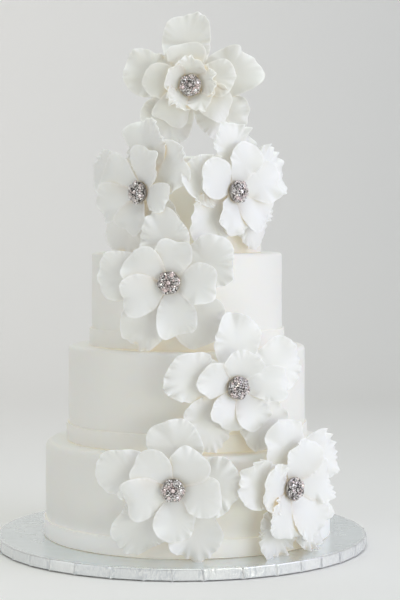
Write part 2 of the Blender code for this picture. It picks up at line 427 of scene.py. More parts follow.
def run_nodes(thing, tree, **values):
    """Add a Geometry Nodes modifier and set its inputs by their identifiers."""
    nodes = thing.modifiers.new(tree.name, "NODES")
    nodes.node_group = tree
    for item in tree.interface.items_tree:
        value = values.get(item.name.replace(" ", "_"))
        if item.in_out == "INPUT" and value is not None:
            nodes[item.identifier] = value
    return nodes


# %% [markdown]
# ## Unevenness of the hand
#
# Rolled icing is smoothed with a paddle, so a tier is never a perfect cylinder.  A small Geometry
# Nodes tree moves every point along its normal by a slow noise.  The tiers use it; the strips waver
# by a noise of their own.

# %% The hand-smoothed tree
def shape_tree(name, **inputs):
    """A Geometry Nodes tree that takes a shape and named values, and its group input node."""
    tree = bpy.data.node_groups.new(name, "GeometryNodeTree")
    declare(tree, "INPUT", Geometry="geometry", **inputs, Material="material")
    declare(tree, "OUTPUT", Geometry="geometry")
    return tree, tree.nodes.new("NodeGroupInput")


def close_tree(tree, given, geometry, smooth=True):
    """The last nodes of every tree: real faces, their shading and their material."""
    real = add_node(tree, "GeometryNodeRealizeInstances", {"Geometry": geometry})
    shaded = add_node(tree, "GeometryNodeSetShadeSmooth", {
        "Geometry": real.outputs["Geometry"], "Shade Smooth": smooth})
    painted = add_node(tree, "GeometryNodeSetMaterial", {
        "Geometry": shaded.outputs["Geometry"], "Material": given.outputs["Material"]})
    put_out = tree.nodes.new("NodeGroupOutput")
    tree.links.new(painted.outputs["Geometry"], put_out.inputs["Geometry"])


def make_smoothed_tree():
    tree, given = shape_tree("hand_smoothed", Depth="float", Scale="float", Seed="float")
    noise = add_node(tree, "ShaderNodeTexNoise", {
        "W": given.outputs["Seed"], "Scale": given.outputs["Scale"], "Detail": 1.5},
        noise_dimensions="4D")
    centred = calc(tree, "SUBTRACT", noise.outputs["Fac"], 0.5)
    push = calc(tree, "MULTIPLY", centred, given.outputs["Depth"])
    normal = tree.nodes.new("GeometryNodeInputNormal")
    offset = add_node(tree, "ShaderNodeVectorMath", {
        0: normal.outputs["Normal"], "Scale": push}, operation="SCALE")
    moved = add_node(tree, "GeometryNodeSetPosition", {
        "Geometry": given.outputs["Geometry"], "Offset": offset.outputs[0]})
    close_tree(tree, given, moved.outputs["Geometry"])
    return tree


SMOOTHED = make_smoothed_tree()

# %% [markdown]
# ## Turned icing
#
# A tier is a round cake under rolled icing: flat on top, straight at the side, and rounded where the
# icing folds over the edge.  Its profile is turned about the axis with a Screw modifier, and the
# hand-smoothed tree follows it.

# %% Turned pieces
TURN_STEPS = 256


def arc(centre, radius, start, end, steps):
    points = []
    for step in range(steps + 1):
        angle = math.radians(start + (end - start) * step / steps)
        points.append((centre[0] + radius * math.cos(angle), centre[1] + radius * math.sin(angle)))
    return points


def line(start, end, steps):
    """Points from start to end, without the start."""
    return [(start[0] + (end[0] - start[0]) * step / steps, start[1] + (end[1] - start[1]) * step / steps)
            for step in range(1, steps + 1)]


def turned(name, profile, steps=TURN_STEPS):
    """A profile of (radius, height) points, from the axis at the top to the axis at the foot."""
    mesh = bpy.data.meshes.new(name)
    shape = bmesh.new()
    points = [shape.verts.new((x, 0, z)) for x, z in profile]
    for first, second in zip(points, points[1:]):
        shape.edges.new((first, second))
    shape.to_mesh(mesh)
    shape.free()
    thing = add_object(name, mesh)
    screw = thing.modifiers.new("turn", "SCREW")
    screw.steps = steps
    screw.render_steps = steps
    screw.use_merge_vertices = True
    screw.merge_threshold = 0.01 * MM
    screw.use_smooth_shade = True
    return thing


TOP_EDGES = (8 * MM, 5 * MM, 4 * MM, 4 * MM)


def make_tier(number):
    tier = TIERS[number - 1]
    edge = TOP_EDGES[number - 1]
    height = tier.top - tier.bottom
    profile = [(0, height)] + line((0, height), (tier.radius - edge, height), 18)
    profile += arc((tier.radius - edge, height - edge), edge, 90, 0, 8)[1:]
    profile += line((tier.radius, height - edge), (tier.radius, 0), 16)
    profile += line((tier.radius, 0), (0, 0), 2)
    thing = turned(f"icing_{number}", profile)
    thing.location = tier.middle + Vector((0, 0, tier.bottom))
    run_nodes(thing, SMOOTHED, Depth=1.6 * MM, Scale=17.0, Seed=float(number), Material=ICING)
    dress(as_plain_mesh(thing), f"tier_{number}")


for number in (1, 2, 3, 4):
    make_tier(number)

# %% [markdown]
# ## The icing strips
#
# Round the foot of each tier goes a strip cut from the same icing.  It is a rounded rectangle swept
# along a circle, which Geometry Nodes does with Curve to Mesh.  The circle starts at the back and
# turns a little more than once round, and its last stretch is lifted by the strip's own thickness, so
# the end lies over the beginning as it does when the strip is wrapped on.

# %% The strip tree
STRIP_HEIGHT = 19 * MM
STRIP_THICKNESS = 2.4 * MM
STRIP_LAP = 5                   # degrees of overlap at the back


def make_strip_tree():
    tree, given = shape_tree("icing_strip", Radius="float", Height="float", Thickness="float",
                             Waver="float", Seed="float")
    route = add_node(tree, "GeometryNodeCurveArc", {
        "Resolution": 320, "Radius": given.outputs["Radius"], "Start Angle": 0.5 * math.pi,
        "Sweep Angle": math.radians(360 + STRIP_LAP)}, mode="RADIUS")
    along = tree.nodes.new("GeometryNodeSplineParameter")
    lifted = add_node(tree, "ShaderNodeMapRange", {
        "Value": along.outputs["Factor"], "From Min": 0.975, "From Max": 0.985,
        "To Max": given.outputs["Thickness"]}, interpolation_type="SMOOTHSTEP")
    place = tree.nodes.new("GeometryNodeInputPosition")
    outward = add_node(tree, "ShaderNodeVectorMath", {0: place.outputs[0]}, operation="NORMALIZE")
    noise = add_node(tree, "ShaderNodeTexNoise", {
        "W": given.outputs["Seed"], "Scale": 14.0, "Detail": 2.0}, noise_dimensions="4D")
    waver = calc(tree, "MULTIPLY", calc(tree, "SUBTRACT", noise.outputs["Fac"], 0.5),
                 given.outputs["Waver"])
    lift = add_node(tree, "ShaderNodeVectorMath", {
        0: outward.outputs[0], "Scale": lifted.outputs["Result"]}, operation="SCALE")
    rise = add_node(tree, "ShaderNodeCombineXYZ", {"Z": waver})
    both = add_node(tree, "ShaderNodeVectorMath", {0: lift.outputs[0], 1: rise.outputs[0]},
                    operation="ADD")
    wavering = add_node(tree, "GeometryNodeSetPosition", {
        "Geometry": route.outputs["Curve"], "Offset": both.outputs[0]})
    section = add_node(tree, "GeometryNodeCurvePrimitiveQuadrilateral", {
        "Width": given.outputs["Thickness"], "Height": given.outputs["Height"]})
    rounded = add_node(tree, "GeometryNodeFilletCurve", {
        "Curve": section.outputs["Curve"], "Radius": 0.8 * MM, "Count": 4}, mode="POLY")
    swept = add_node(tree, "GeometryNodeCurveToMesh", {
        "Curve": wavering.outputs["Geometry"], "Profile Curve": rounded.outputs["Curve"],
        "Fill Caps": True})
    close_tree(tree, given, swept.outputs["Mesh"])
    return tree


STRIP = make_strip_tree()


def make_strip(number):
    band = BANDS[number - 1]
    thing = add_object(f"strip_{number}", bpy.data.meshes.new("strip"))
    thing.location = band.middle + Vector((0, 0, band.bottom + 0.5 * STRIP_HEIGHT))
    run_nodes(thing, STRIP, Radius=band.radius - 0.5 * STRIP_THICKNESS, Height=STRIP_HEIGHT,
              Thickness=STRIP_THICKNESS, Waver=1.5 * MM, Seed=float(number), Material=ICING)
    dress(as_plain_mesh(thing), f"band_{number}")


for number in (1, 2, 3, 4):
    make_strip(number)

# %% [markdown]
# ## The foil drum
#
# A cake drum is a thick round board wrapped in embossed foil.  The foil is folded over the rim in
# pleats, so the rim has a fold every ten degrees, with crinkles between them.  The board is turned,
# and a tree adds the pleats: it measures the angle round the board, splits it into folds, and raises
# the foil after each fold's edge.

# %% The pleated foil tree
FOLDS = 37
FOLD_DEPTH = 0.7 * MM
CRINKLE_DEPTH = 1.6 * MM
STANDING_GAP = 1.3 * MM         # the foil's lower edge hangs this far above the table


def smoothed_mask(tree, value, start, end):
    """1 at start, 0 at end and beyond, with an easy slope between."""
    mask = add_node(tree, "ShaderNodeMapRange", {
        "Value": value, "From Min": start, "From Max": end, "To Min": 1.0, "To Max": 0.0},
        interpolation_type="SMOOTHSTEP")
    return mask.outputs["Result"]


def make_foil_tree():
    tree, given = shape_tree("pleated_foil", Radius="float", Folds="float", Fold_depth="float",
                             Crinkle_depth="float")
    place = tree.nodes.new("GeometryNodeInputPosition")
    axes = add_node(tree, "ShaderNodeSeparateXYZ", {0: place.outputs[0]})
    angle = calc(tree, "ARCTAN2", axes.outputs["Y"], axes.outputs["X"])
    turn = calc(tree, "MULTIPLY", angle, calc(tree, "DIVIDE", given.outputs["Folds"], 2 * math.pi))
    uneven = add_node(tree, "ShaderNodeTexNoise", {
        "Vector": place.outputs[0], "Scale": 9.0, "Detail": 0.0})
    turn = calc(tree, "ADD", turn, uneven.outputs["Fac"])
    phase = calc(tree, "FRACT", turn)
    flap = calc(tree, "POWER", calc(tree, "SUBTRACT", 1.0, phase), 3.0)
    from_fold = calc(tree, "MINIMUM", phase, calc(tree, "SUBTRACT", 1.0, phase))
    # Crinkles run up and down the rim, so the pattern is stretched in height, and they crowd
    # round the folds.
    stretch = add_node(tree, "ShaderNodeVectorMath", {0: place.outputs[0], 1: (1.0, 1.0, 0.3)},
                       operation="MULTIPLY")
    fine = add_node(tree, "ShaderNodeTexNoise", {
        "Vector": stretch.outputs[0], "Scale": 210.0, "Detail": 2.0, "Distortion": 0.6})
    patches = add_node(tree, "ShaderNodeTexNoise", {
        "Vector": place.outputs[0], "Scale": 28.0, "Detail": 1.0})
    patch = add_node(tree, "ShaderNodeMapRange", {
        "Value": patches.outputs["Fac"], "From Min": 0.45, "From Max": 0.62}, clamp=True)
    crowded = calc(tree, "MAXIMUM", patch.outputs["Result"],
                   smoothed_mask(tree, from_fold, 0.05, 0.3))
    fine = calc(tree, "MULTIPLY", calc(tree, "SUBTRACT", fine.outputs["Fac"], 0.5),
                calc(tree, "MULTIPLY", crowded, given.outputs["Crinkle depth"]))
    raised = calc(tree, "MULTIPLY_ADD", flap, given.outputs["Fold depth"], fine)
    # All of it fades out over the last few millimetres of the flat top and underside.
    flat = add_node(tree, "ShaderNodeCombineXYZ", {"X": axes.outputs["X"], "Y": axes.outputs["Y"]})
    reach = add_node(tree, "ShaderNodeVectorMath", {0: flat.outputs[0]}, operation="LENGTH")
    inward = calc(tree, "SUBTRACT", given.outputs["Radius"], reach.outputs["Value"])
    near_rim = smoothed_mask(tree, inward, 0.0, 5 * MM)
    push = calc(tree, "MULTIPLY", raised, near_rim)
    outward = add_node(tree, "ShaderNodeVectorMath", {0: flat.outputs[0]}, operation="NORMALIZE")
    offset = add_node(tree, "ShaderNodeVectorMath", {0: outward.outputs[0], "Scale": push},
                      operation="SCALE")
    # A fold is bulky, so it sags towards the table at the lower edge.
    low = smoothed_mask(tree, axes.outputs["Z"], STANDING_GAP, 4 * MM)
    above = calc(tree, "GREATER_THAN", axes.outputs["Z"], 0.5 * STANDING_GAP)
    bulk = calc(tree, "MULTIPLY", smoothed_mask(tree, from_fold, 0.0, 0.08), near_rim)
    sag = calc(tree, "MULTIPLY", calc(tree, "MULTIPLY", low, above), -0.7 * STANDING_GAP)
    drop = add_node(tree, "ShaderNodeCombineXYZ", {"Z": calc(tree, "MULTIPLY", bulk, sag)})
    both = add_node(tree, "ShaderNodeVectorMath", {0: offset.outputs[0], 1: drop.outputs[0]},
                    operation="ADD")
    moved = add_node(tree, "GeometryNodeSetPosition", {
        "Geometry": given.outputs["Geometry"], "Offset": both.outputs[0]})
    # Each stretch between two folds gets a random number, which the material turns into a painted reflection
    # brightness, as if the stretch tilted its own way.
    stretch_number = calc(tree, "FLOOR", turn)
    tilt = add_node(tree, "FunctionNodeRandomValue", {"ID": stretch_number, "Seed": 5},
                    data_type="FLOAT")
    shape = moved.outputs["Geometry"]
    for name, value in (("tilt", tilt.outputs["Value"]), ("rim_share", near_rim),
                        ("crease", smoothed_mask(tree, from_fold, 0.0, 0.05)),
                        ("crowd", crowded)):
        marked = add_node(tree, "GeometryNodeStoreNamedAttribute", {
            "Geometry": shape, "Name": name, "Value": value}, data_type="FLOAT", domain="POINT")
        shape = marked.outputs["Geometry"]
    close_tree(tree, given, shape)
    return tree


# %% [markdown]
# ## The look of crinkled foil
#
# Foil mirrors whatever it faces, and every crinkle faces something else, so on the rim light and
# dark lie side by side.  These reflections are painted into the foil's colour, and the marks that the
# tree has stored steer them: each stretch between two folds has its own painted brightness, creases
# get painted shade, and the painted crinkle pattern is strongest near the folds.  Soft streaks on the
# flat top are painted reflections too.

# %% The foil's material
def crinkle_foil(material):
    tree = material.node_tree
    shader, relief = tree.nodes["Principled BSDF"], tree.nodes["relief"]
    marks = {name: add_node(tree, "ShaderNodeAttribute", attribute_name=name).outputs["Fac"]
             for name in ("tilt", "rim_share", "crease", "crowd")}
    place = add_node(tree, "ShaderNodeTexCoord")
    stretch = add_node(tree, "ShaderNodeVectorMath", {0: place.outputs["Object"], 1: (1.0, 1.0, 0.45)},
                       operation="MULTIPLY")
    crinkles = add_node(tree, "ShaderNodeTexNoise", {
        "Vector": stretch.outputs[0], "Scale": 380.0, "Detail": 3.0, "Distortion": 1.2})
    smear = add_node(tree, "ShaderNodeVectorMath", {0: place.outputs["Object"], 1: (0.35, 1.0, 1.0)},
                     operation="MULTIPLY")
    painted_streaks = add_node(tree, "ShaderNodeTexNoise", {
        "Vector": smear.outputs[0], "Scale": 42.0, "Detail": 3.0, "Distortion": 0.8})
    sharp = add_node(tree, "ShaderNodeMapRange", {
        "Value": crinkles.outputs["Fac"], "From Min": 0.38, "From Max": 0.62}, clamp=True)
    busy = calc(tree, "MULTIPLY_ADD", marks["crowd"], 0.65, 0.15)
    calm = calc(tree, "MULTIPLY_ADD", marks["tilt"], 0.4, 0.45)
    # Painted reflection: the rim runs between dark and white by the crinkles and each stretch's number.
    painted_reflection = add_node(tree, "ShaderNodeMix", {
        "Factor": busy, "A": calm, "B": sharp.outputs["Result"]})
    on_rim = add_node(tree, "ShaderNodeMix", {
        "Factor": painted_reflection.outputs["Result"], "A": (0.68, 0.71, 0.74, 1), "B": (1.0, 1.0, 1.0, 1)},
        data_type="RGBA")
    # Painted shade along the creases.
    painted_crease_shade = add_node(tree, "ShaderNodeMix", {
        "Factor": calc(tree, "MULTIPLY", marks["crease"], calc(
            tree, "MULTIPLY_ADD", marks["tilt"], 0.45, 0.05)), "A": on_rim.outputs["Result"],
        "B": (0.32, 0.30, 0.30, 1)}, data_type="RGBA")
    # Painted reflection on the flat top: soft streaks.
    on_top = add_node(tree, "ShaderNodeMix", {
        "Factor": painted_streaks.outputs["Fac"], "A": (0.74, 0.78, 0.79, 1), "B": (0.84, 0.88, 0.89, 1)},
        data_type="RGBA")
    colour = add_node(tree, "ShaderNodeMix", {
        "Factor": marks["rim_share"], "A": on_top.outputs["Result"], "B": painted_crease_shade.outputs["Result"]},
        data_type="RGBA")
    tree.links.new(colour.outputs["Result"], shader.inputs["Base Color"])
    ridges = calc(tree, "MULTIPLY", crinkles.outputs["Fac"],
                  calc(tree, "MULTIPLY_ADD", marks["rim_share"], 4.5, 0.02))
    height = calc(tree, "MULTIPLY_ADD", relief.inputs["Height"].links[0].from_socket, 0.35, ridges)
    tree.links.new(height, relief.inputs["Height"])


crinkle_foil(FOIL)


# %% Making the drum
def make_drum():
    thick = DRUM.top - DRUM.bottom
    rim = DRUM.radius - FOLD_DEPTH
    top_edge, foot_edge = 1.0 * MM, 0.6 * MM
    profile = [(0, thick)] + line((0, thick), (rim - 8 * MM, thick), 4)
    profile += line((rim - 8 * MM, thick), (rim - top_edge, thick), 8)
    profile += arc((rim - top_edge, thick - top_edge), top_edge, 90, 0, 4)[1:]
    profile += line((rim, thick - top_edge), (rim, STANDING_GAP + foot_edge), 8)
    profile += arc((rim - foot_edge, STANDING_GAP + foot_edge), foot_edge, 0, -90, 3)[1:]
    profile += line((rim - foot_edge, STANDING_GAP), (rim - 6 * MM, STANDING_GAP), 3)
    profile += line((rim - 6 * MM, STANDING_GAP), (rim - 6.5 * MM, 0), 1)
    profile += line((rim - 6.5 * MM, 0), (0, 0), 2)
    thing = turned("foil_drum", profile, 1440)
    thing.location = DRUM.middle + Vector((0, 0, DRUM.bottom))
    run_nodes(thing, make_foil_tree(), Radius=rim, Folds=float(FOLDS), Fold_depth=FOLD_DEPTH,
              Crinkle_depth=CRINKLE_DEPTH, Material=FOIL)
    dress(as_plain_mesh(thing), "cake_drum")


make_drum()

# %% [markdown]
# ## One petal
#
# A sugar petal is cut from thinly rolled paste, so it bends but hardly stretches.  It is made here
# in the same order: a flat outline first, then the frills that a ball tool leaves round its thin
# edge, and last the curves along and across it.
#
# A petal's numbers are millimetres and degrees.  `at` is the way it points, counted from the
# flower's right, `reach` is how far its tip stands from the flower's axis, and `seat` how far in
# front of the icing its foot is.  `claw`, `flare`, `peak` and `tip` shape the outline, `lift`,
# `bend` and `curl` its slope from foot to tip, and `cup` the hollow across it.

# %% What describes a petal
Petal = namedtuple("Petal", "at reach width claw flare peak tip point lean seat lift bend curl cup"
                            " roll twist sway frill seed")
OUTER = Petal(at=0, reach=80, width=61, claw=0.2, flare=1.15, peak=0.62, tip=2.1, point=0, lean=0,
              seat=4.5, lift=13, bend=-14, curl=-8, cup=16, roll=-1.2, twist=2.2, sway=1.0, frill=1.0,
              seed=0)
INNER = OUTER._replace(reach=53, width=45, claw=0.2, flare=1.3, peak=0.65, tip=2.4, seat=12.5, lift=25,
                       bend=-18, curl=-16, cup=34, roll=-1.0, twist=2.6, sway=0.55, frill=0.35)
HEART = INNER._replace(reach=28, width=36, claw=0.35, seat=18, lift=30, bend=16, curl=0, cup=45,
                       roll=-1.2, twist=1.6, sway=0.7, frill=1.1)
PETAL_START = 4.5               # where every petal's foot is, inside the paste knob
MARGIN_POINTS, FOOT_POINTS, RINGS_OF_POINTS = 150, 6, 14

# Low lobes of the outline: how many round the petal, and their height as a share of its size.
LOBES = ((2, 0.035), (3, 0.045), (4, 0.03), (5, 0.018), (7, 0.008))

# Waves round the margin: their length, how deep and how far out they push the edge, and how far in
# they fade away.
Wave = namedtuple("Wave", "length depth scallop fade")
SWAY = Wave(38, 4.2, 0.6, 18)
FRILLS = (Wave(12, 2.8, 0.35, 7), Wave(7, 1.2, 0.2, 3.5))
HILLS = 2.0                     # how high the finger-pressed swell of a petal is, at the most


def smooth_step(low, high, value):
    t = np.clip((value - low) / (high - low), 0, 1)
    return t * t * (3 - 2 * t)


# %% The flat outline
def petal_margin(petal, length, pick):
    """Points round the flat petal from one side of the claw over the tip to the other, evenly
    spaced, and how far along the margin each is from the tip."""
    along = np.sin(np.linspace(0, 0.5 * math.pi, 240))
    grown = np.sin(0.5 * math.pi * np.minimum(along / petal.peak, 1)) ** petal.flare
    beyond = np.clip((along - petal.peak) / (1 - petal.peak), 0, 1)
    half = petal.claw + (1 - petal.claw) * grown
    half = 0.5 * petal.width * half * (1 - beyond ** petal.tip) ** (1 / petal.tip)
    side = np.stack([half, along * length], axis=1)
    both = np.concatenate([side * (-1, 1), side[-2::-1]])
    walked = np.concatenate([[0], np.cumsum(np.linalg.norm(np.diff(both, axis=0), axis=1))])
    walk = np.linspace(0, walked[-1], MARGIN_POINTS)
    margin = np.stack([np.interp(walk, walked, both[:, axis]) for axis in (0, 1)], axis=1)
    # No two petals are cut quite alike: the outline has a few low lobes of its own.
    turn = np.arctan2(margin[:, 0], margin[:, 1] - petal.peak * length)
    lobes = sum(size * np.sin(count * turn + pick.uniform(0, 2 * math.pi)) for count, size in LOBES)
    upper = smooth_step(0.1, 0.5, margin[:, 1] / length)
    margin = margin * (1 + (1, 0.5) * (lobes * upper)[:, None])
    margin[:, 1] += petal.point * np.exp(-((margin[:, 0] - petal.lean) / 6) ** 2) * upper
    return margin, walk - 0.5 * walked[-1], upper


# %% The frilled edge
def wave_train(wave, walk, pick):
    """Waves round the margin, from -1 to 1, in patches of uneven length and height."""
    phase = pick.uniform(0, 2 * math.pi, 5)
    length = wave.length * pick.uniform(0.8, 1.35)
    drift = 1.3 * np.sin(walk / (0.9 * length) + phase[0])
    drift += 0.6 * np.sin(walk / (0.4 * length) + phase[1])
    patch = 0.4 + 0.4 * np.sin(walk / (0.6 * length) + phase[2]) + 0.6 * np.sin(walk / 16 + phase[3])
    return np.clip(patch, 0.2, 1.3) * np.sin(2 * math.pi * walk / length + drift + phase[4])


def soft_hills(flat, pick):
    """A slow swell over the whole petal, from -1 to 1, where fingers have pressed it."""
    swell = np.zeros(flat.shape[:-1])
    for length in (24, 31, 42):
        heading, phase = pick.uniform(0, math.pi), pick.uniform(0, 2 * math.pi)
        way = flat[..., 0] * math.cos(heading) + flat[..., 1] * math.sin(heading)
        swell += np.sin(2 * math.pi * way / length + phase) / 3
    return swell


# %% Curves along and across
def curved(petal, length, across, along, forward):
    """Flat paste to its curved place: out from the axis, to the side and forward."""
    run = np.linspace(0, 1.1, 240)
    slope = np.radians(petal.lift + petal.bend * run + petal.curl * run ** 4)
    step = length * (run[1] - run[0])
    radial = np.concatenate([[0], np.cumsum(np.cos(slope[1:]))]) * step
    height = np.concatenate([[0], np.cumsum(np.sin(slope[1:]))]) * step
    share = along / length
    angle = np.interp(share, run, slope)
    half = 0.5 * petal.width
    bow = np.radians(petal.cup) * np.clip(share, 0.02, 1) ** 0.6
    turn = bow * across / half
    side = half * np.sin(turn) / bow
    lifted = half * (1 - np.cos(turn)) / bow + forward
    lifted = lifted + petal.twist * across / half * np.sqrt(np.clip(share, 0, 1))
    out = PETAL_START + np.interp(share, run, radial) - lifted * np.sin(angle)
    front = petal.seat + np.interp(share, run, height) + lifted * np.cos(angle)
    return out, side, front


def paste_length(petal):
    """The flat length whose curved form reaches just as far as the petal should."""
    run = np.linspace(0, 1, 100)
    slope = np.radians(petal.lift + petal.bend * run + petal.curl * run ** 4)
    return (petal.reach - PETAL_START) / np.mean(np.cos(slope))


# %% A petal's points
def petal_points(petal):
    """Points of the petal's middle surface, ring by ring from its heart to its margin: their
    places in the flower, their flat places for the UV map, each ring's share of the way, and a
    mark that grows to 1 at the margin."""
    pick = np.random.default_rng(petal.seed)
    length = paste_length(petal)
    margin, walk, free = petal_margin(petal, length, pick)
    heart = np.array((0, 0.55 * length))
    spoke = margin - heart
    far = np.linalg.norm(spoke, axis=1)
    steps = 1 - np.arange(1, RINGS_OF_POINTS + 1) / RINGS_OF_POINTS
    shares = 1 - steps ** 1.45
    depth = (1 - shares)[:, None] * far
    spread = heart + shares[:, None, None] * spoke
    forward = petal.roll * pick.uniform(-0.4, 1.3) * np.exp(-(depth / 6) ** 1.5)
    forward = forward + HILLS * petal.sway * soft_hills(spread, pick)
    outward = np.zeros_like(depth)
    frills = petal.frill * pick.uniform(0.5, 1.4, 2)
    for wave, strength in ((SWAY, petal.sway), (FRILLS[0], frills[0]), (FRILLS[1], frills[1])):
        train = strength * wave_train(wave, walk, pick) * np.exp(-(depth / wave.fade) ** 1.3)
        forward = forward + wave.depth * train
        outward = outward + wave.scallop * train
    forward = forward * free * (shares ** 2)[:, None]
    flat = spread + (outward * free / far)[..., None] * spoke
    # The claw's end closes each ring with a few more points.
    across = np.linspace(0, 1, FOOT_POINTS + 2)[1:-1, None]
    close = flat[:, -1:] * (1 - across) + flat[:, :1] * across
    flat = np.concatenate([flat, close], axis=1).reshape(-1, 2)
    forward = np.concatenate([forward, np.zeros((RINGS_OF_POINTS, FOOT_POINTS))], axis=1)
    flat = np.concatenate([heart[None], flat])
    forward = np.concatenate([[0], forward.ravel()])
    out, side, front = curved(petal, length, flat[:, 0], flat[:, 1], forward)
    heading = math.radians(petal.at)
    places = np.stack([out * math.cos(heading) + side * math.sin(heading),
                       out * math.sin(heading) - side * math.cos(heading), front], axis=1)
    spread = np.stack([0.5 + flat[:, 0] / petal.width, flat[:, 1] / length], axis=1)
    rim = np.concatenate([np.exp(-(depth / 1.3) ** 2), np.zeros((RINGS_OF_POINTS, FOOT_POINTS))], axis=1)
    return places * MM, spread, shares, np.concatenate([[0], rim.ravel()])


def petal_faces(start):
    """Faces over the points of one petal whose heart is point number start."""
    around = MARGIN_POINTS + FOOT_POINTS
    faces = []
    for column in range(around):
        following = (column + 1) % around
        faces.append((start, start + 1 + following, start + 1 + column))
        for ring in range(RINGS_OF_POINTS - 1):
            low = start + 1 + ring * around
            faces.append((low + column, low + following, low + around + following,
                          low + around + column))
    return faces


# %% [markdown]
# ## The bloom of a petal
#
# A veining tool leaves faint furrows that fan out from the petal's foot, and the worn edge is so
# thin that light comes through it and it looks whiter than the rest.  On top of the light that the
# paste lets through, the edge is painted a paler colour with a faint glow, a painted highlight.  The
# furrows follow the petal's own UV map, and the edge is found by an attribute that the mesh brings
# along.  The top flower's petals are painted a little darker and creamier, as painted shade for the
# dimmer light up there.

# %% Furrows, painted bright edges and painted shade on the top flower
def vein_petals(material):
    tree = material.node_tree
    shader, relief = tree.nodes["Principled BSDF"], tree.nodes["relief"]
    layout = add_node(tree, "ShaderNodeUVMap", uv_map="petal")
    axes = add_node(tree, "ShaderNodeSeparateXYZ", {"Vector": layout.outputs["UV"]})
    fan = calc(tree, "DIVIDE", calc(tree, "SUBTRACT", axes.outputs["X"], 0.5),
               calc(tree, "ADD", axes.outputs["Y"], 0.35))
    place = add_node(tree, "ShaderNodeCombineXYZ", {"X": fan, "Y": calc(
        tree, "MULTIPLY", axes.outputs["Y"], 0.06)})
    furrows = add_node(tree, "ShaderNodeTexNoise", {
        "Vector": place.outputs["Vector"], "Scale": 42.0, "Detail": 2.0})
    height = calc(tree, "MULTIPLY_ADD", furrows.outputs["Fac"], 0.7,
                  relief.inputs["Height"].links[0].from_socket)
    tree.links.new(height, relief.inputs["Height"])
    rim = add_node(tree, "ShaderNodeAttribute", attribute_name="rim")
    # Painted highlight: the thin edge is given a paler colour and a faint glow.
    painted_pale_rim = add_node(tree, "ShaderNodeMix", {
        "Factor": rim.outputs["Fac"], "A": shader.inputs["Base Color"].links[0].from_socket,
        "B": (1.0, 0.995, 0.98, 1)}, data_type="RGBA")
    painted_rim_glow = add_node(tree, "ShaderNodeMix", {
        "Factor": rim.outputs["Fac"], "A": shader.inputs["Emission Color"].links[0].from_socket,
        "B": (0.07, 0.072, 0.07, 1)}, data_type="RGBA", blend_type="ADD")
    tree.links.new(painted_rim_glow.outputs["Result"], shader.inputs["Emission Color"])
    # Painted shade: the top flower's petals are painted darker and creamier, for the dimmer light up there.
    spot = add_node(tree, "ShaderNodeTexCoord")
    up = add_node(tree, "ShaderNodeSeparateXYZ", {"Vector": spot.outputs["Object"]})
    top_shade_share = add_node(tree, "ShaderNodeMapRange", {
        "Value": up.outputs["Z"], "From Min": TOP_SHADE_FROM, "From Max": TOP_SHADE_FROM + 60 * MM})
    painted_top_shade = add_node(tree, "ShaderNodeMix", {
        "Factor": top_shade_share.outputs["Result"], "A": painted_pale_rim.outputs["Result"], "B": (0.955, 0.945, 0.915, 1)},
        data_type="RGBA", blend_type="MULTIPLY")
    tree.links.new(painted_top_shade.outputs["Result"], shader.inputs["Base Color"])


TOP_SHADE_FROM = TIERS[-1].top      # the top flower's petals start about here
vein_petals(PETAL)

# %% [markdown]
# ## From surface to paste
#
# A vertex group says how thick the paste is at each point, full in the middle and worn thin at the
# edge, and Solidify reads it.  Behind the petals, each ring has the small knob of paste that they
# are stuck to.

# %% A ring of petals
PASTE = 1.1 * MM
THIN_SHARE = 0.3                # the edge's thickness as a share of the middle's


def petal_ring(name, petals):
    places, spreads, rims, faces, layers = [], [], [], [], []
    for petal in petals:
        start = sum(len(part) for part in places)
        points, spread, shares, rim = petal_points(petal)
        places.append(points)
        rims.append(rim)
        spreads.append(spread)
        faces += petal_faces(start)
        layers.append((start, shares))
    mesh = bpy.data.meshes.new(name)
    mesh.from_pydata(np.concatenate(places).tolist(), [], faces)
    mesh.shade_smooth()
    corner = np.empty(len(mesh.loops), dtype=np.int32)
    mesh.loops.foreach_get("vertex_index", corner)
    layout = mesh.uv_layers.new(name="petal")
    layout.data.foreach_set("uv", np.concatenate(spreads)[corner].ravel())
    mark = mesh.attributes.new("rim", "FLOAT", "POINT")
    mark.data.foreach_set("value", np.concatenate(rims))
    thing = add_object(name, mesh, PETAL)
    thick = thing.vertex_groups.new(name="thick")
    around = MARGIN_POINTS + FOOT_POINTS
    for start, shares in layers:
        thick.add([start], 1.0, "REPLACE")
        for ring, share in enumerate(shares):
            first = start + 1 + ring * around
            thick.add(list(range(first, first + around)), float(1 - share ** 5), "REPLACE")
    paste = thing.modifiers.new("paste", "SOLIDIFY")
    paste.thickness = PASTE
    paste.offset = 0
    paste.vertex_group = "thick"
    paste.thickness_vertex_group = THIN_SHARE
    return thing


# %% [markdown]
# ## The flowers
#
# Each flower has its own frame: x to its right, y up its face and z straight out of it.

# %% Flower places
Seat = namedtuple("Seat", "tier around height facing")
SEATS = {
    "front_base": Seat(1, -4, 86, -4),
    "right_base": Seat(1, 39, 81, 43),
    "second_tier": Seat(2, 20.5, 185, 24),
    "third_tier": Seat(3, -8, 291, -8),
    "upper_left": Seat(4, -27.5, 384, -43),
    "upper_right": Seat(4, 32, 385, 40),
}
CROWN_FOOT = Vector((9.5, -3, 500)) * MM
KNOB_RADIUS = 7.5 * MM


